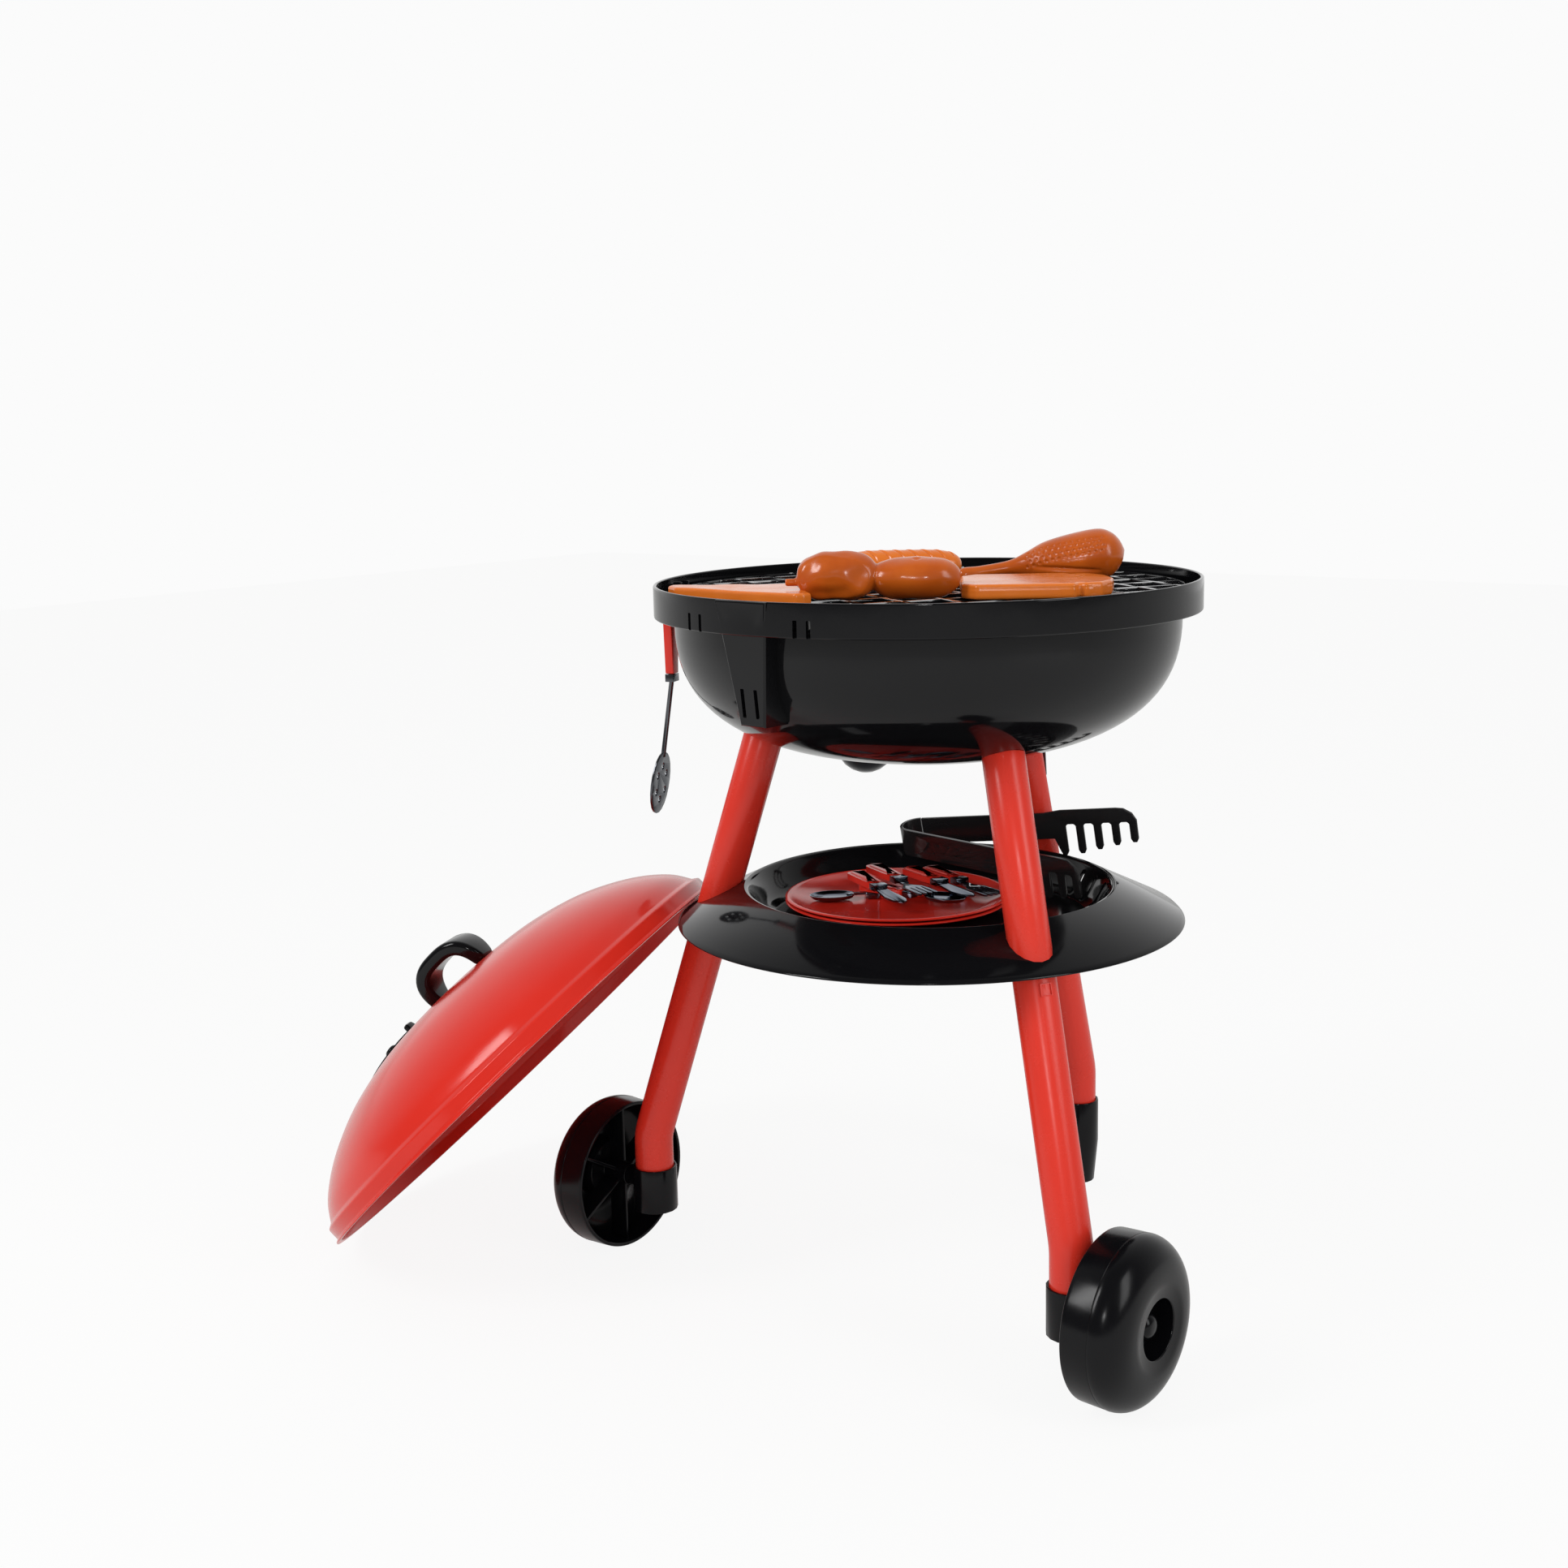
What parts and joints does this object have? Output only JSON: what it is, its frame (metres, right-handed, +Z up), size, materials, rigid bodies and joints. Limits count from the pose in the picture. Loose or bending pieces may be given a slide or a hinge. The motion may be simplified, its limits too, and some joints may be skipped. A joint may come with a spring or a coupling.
{
  "type": "toy barbecue grill",
  "caption": "Toy kettle barbecue on three red legs with a shelf, two wheels, a lifted-off lid, a grate, play food, plates, cutlery and tools.",
  "frame": {"origin": "bottom centre of the bounding box of the whole object, on the floor", "axes": "+X along the wheel axles, from the left wheel and the leaning lid to the right wheel; +Y towards the leg with the plain foot; +Z up"},
  "size_m": [0.7212, 0.5692, 0.5675],
  "materials": {
    "black_gloss": "smooth, glossy",
    "black_satin": "satin",
    "red_gloss": "smooth, glossy",
    "red_tube": "smooth, semi-gloss",
    "grate_grey": "glossy, dark grey",
    "food_orange": "smooth, semi-gloss",
    "steel_look": "silvery grey, glossy"
  },
  "bodies": {
    "grill": {"bowl": "black_gloss", "shelf": "black_gloss", "upper_leg_left": "red_tube", "upper_leg_right": "red_tube", "upper_leg_foot": "red_tube", "lower_leg_left": "red_tube", "lower_leg_right": "red_tube", "lower_leg_foot": "red_tube", "foot_cap": "black_satin", "axle_cap_left": "black_satin", "hub_cap_left": "black_satin", "axle_cap_right": "black_satin", "hub_cap_right": "black_satin", "hook_spatula": "black_satin", "hook_ladle": "black_satin", "hook_turner": "black_satin"},
    "wheel_left": {"wheel_left": "black_satin"},
    "wheel_right": {"wheel_right": "black_satin"},
    "lid": {"lid": "red_gloss", "lid_handle": "black_gloss", "vent_knob": "black_satin"},
    "vent_disc": {"vent_disc": "black_satin"},
    "grate": {"grate": "grate_grey"},
    "food_fillet": {"food_fillet": "food_orange"},
    "food_steak": {"food_steak": "food_orange"},
    "food_kebab": {"food_kebab": "food_orange"},
    "food_sausage": {"food_sausage": "food_orange"},
    "food_drumstick": {"food_drumstick": "food_orange"},
    "plate_lower": {"plate_lower": "red_gloss"},
    "plate_upper": {"plate_upper": "red_gloss"},
    "spoon_a": {"spoon_a_handle": "red_gloss", "spoon_a_head": "steel_look"},
    "spoon_b": {"spoon_b_handle": "red_gloss", "spoon_b_head": "steel_look"},
    "fork_a": {"fork_a_handle": "red_gloss", "fork_a_head": "steel_look"},
    "fork_b": {"fork_b_handle": "red_gloss", "fork_b_head": "steel_look"},
    "knife_a": {"knife_a_handle": "red_gloss", "knife_a_head": "steel_look"},
    "knife_b": {"knife_b_handle": "red_gloss", "knife_b_head": "steel_look"},
    "tongs": {"tongs_near_arm": "black_satin"},
    "tongs_far_arm": {"tongs_far_arm": "black_satin"},
    "spatula": {"spatula_handle": "red_gloss", "spatula_head": "steel_look"},
    "ladle": {"ladle_handle": "red_gloss", "ladle_head": "steel_look"},
    "turner": {"turner_handle": "red_gloss", "turner_head": "steel_look"}
  },
  "joints": [
    {"name": "wheel_left_spin", "type": "hinge", "parent": "grill", "child": "wheel_left", "pos_m": [-0.0874, -0.06232, 0.0595], "axis": [1, 0, 0], "continuous": true},
    {"name": "wheel_right_spin", "type": "hinge", "parent": "grill", "child": "wheel_right", "pos_m": [0.29313, -0.06232, 0.0595], "axis": [1, 0, 0], "continuous": true},
    {"name": "lid_lift_off", "type": "slide", "parent": "grill", "child": "lid", "axis": [-0.6394, -0.2887, 0.7126], "range_m": [0, 0.12]},
    {"name": "vent_turn", "type": "hinge", "parent": "lid", "child": "vent_disc", "pos_m": [-0.30328, -0.13585, 0.14189], "axis": [-0.7467, -0.3372, 0.5734], "range_deg": [-40, 40]},
    {"name": "grate_lift", "type": "slide", "parent": "grill", "child": "grate", "axis": [0, 0, 1], "range_m": [0, 0.08]},
    {"name": "food_fillet_lift", "type": "slide", "parent": "grate", "child": "food_fillet", "axis": [0, 0, 1], "range_m": [0, 0.05]},
    {"name": "food_steak_lift", "type": "slide", "parent": "grate", "child": "food_steak", "axis": [0, 0, 1], "range_m": [0, 0.05]},
    {"name": "food_sausage_lift", "type": "slide", "parent": "grate", "child": "food_sausage", "axis": [0, 0, 1], "range_m": [0, 0.05]},
    {"name": "food_drumstick_lift", "type": "slide", "parent": "grate", "child": "food_drumstick", "axis": [0, 0, 1], "range_m": [0, 0.05]},
    {"name": "food_kebab_lift", "type": "slide", "parent": "food_fillet", "child": "food_kebab", "axis": [0, 0, 1], "range_m": [0, 0.05]},
    {"name": "plate_lower_lift", "type": "slide", "parent": "grill", "child": "plate_lower", "axis": [0.6598, -0.05, 0.7498], "range_m": [0, 0.02]},
    {"name": "plate_upper_lift", "type": "slide", "parent": "plate_lower", "child": "plate_upper", "axis": [0.6598, -0.05, 0.7498], "range_m": [0, 0.02]},
    {"name": "spoon_a_lift", "type": "slide", "parent": "plate_upper", "child": "spoon_a", "axis": [0, 0, 1], "range_m": [0, 0.012]},
    {"name": "spoon_b_lift", "type": "slide", "parent": "spoon_a", "child": "spoon_b", "axis": [0, 0, 1], "range_m": [0, 0.012]},
    {"name": "knife_a_lift", "type": "slide", "parent": "spoon_b", "child": "knife_a", "axis": [0, 0, 1], "range_m": [0, 0.012]},
    {"name": "fork_b_lift", "type": "slide", "parent": "spoon_b", "child": "fork_b", "axis": [0, 0, 1], "range_m": [0, 0.012]},
    {"name": "knife_b_lift", "type": "slide", "parent": "spoon_b", "child": "knife_b", "axis": [0, 0, 1], "range_m": [0, 0.012]},
    {"name": "fork_a_draw", "type": "slide", "parent": "plate_upper", "child": "fork_a", "axis": [0.9198, -0.3923, 0], "range_m": [0, 0.03]},
    {"name": "tongs_lift", "type": "slide", "parent": "plate_upper", "child": "tongs", "axis": [0.6598, -0.05, 0.7498], "range_m": [0, 0.02]},
    {"name": "tongs_squeeze", "type": "hinge", "parent": "tongs", "child": "tongs_far_arm", "pos_m": [0.0235, 0.1563, 0.30673], "axis": [0.0219, 0.218, -0.9757], "range_deg": [0, 8]},
    {"name": "spatula_swing", "type": "hinge", "parent": "grill", "child": "spatula", "pos_m": [-0.09605, -0.01328, 0.5207], "axis": [-0.9563, -0.2924, 0], "range_deg": [-20, 20]},
    {"name": "ladle_swing", "type": "hinge", "parent": "grill", "child": "ladle", "pos_m": [-0.05171, 0.18671, 0.5207], "axis": [-0.7431, 0.6691, 0], "range_deg": [-20, 20]},
    {"name": "turner_swing", "type": "hinge", "parent": "grill", "child": "turner", "pos_m": [0.05607, 0.2502, 0.5207], "axis": [-0.225, 0.9744, 0], "range_deg": [-20, 20]}
  ],
  "couplings": [
    {"joint": "tongs_squeeze", "follows": "tongs_lift", "rad_per_m": 6.9813}
  ]
}
